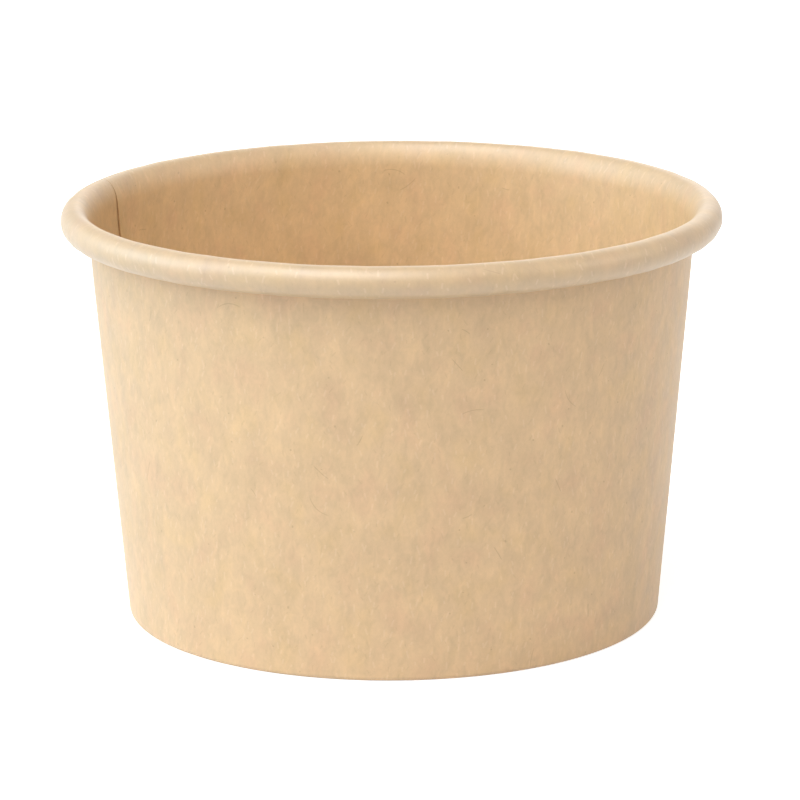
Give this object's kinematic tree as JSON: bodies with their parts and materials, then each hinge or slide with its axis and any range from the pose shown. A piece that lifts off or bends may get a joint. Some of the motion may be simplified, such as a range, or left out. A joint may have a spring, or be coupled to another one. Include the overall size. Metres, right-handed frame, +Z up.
{
  "type": "portion cup",
  "caption": "Small round kraft board portion cup with tapered wall, rolled brim, lapped side seam and recessed base.",
  "frame": {"origin": "centre of the foot ring, on the surface that the cup stands on", "axes": "+Z up along the cup's axis, -Y towards the viewer of the picture, +X to the viewer's right"},
  "size_m": [0.074, 0.074, 0.047],
  "materials": {
    "kraft_wall": "uncoated brown kraft, matt with a faint calendered sheen",
    "kraft_base": "uncoated brown kraft, matt"
  },
  "bodies": {
    "root": {"side_wall": "kraft_wall", "base_disc": "kraft_base"}
  },
  "joints": []
}
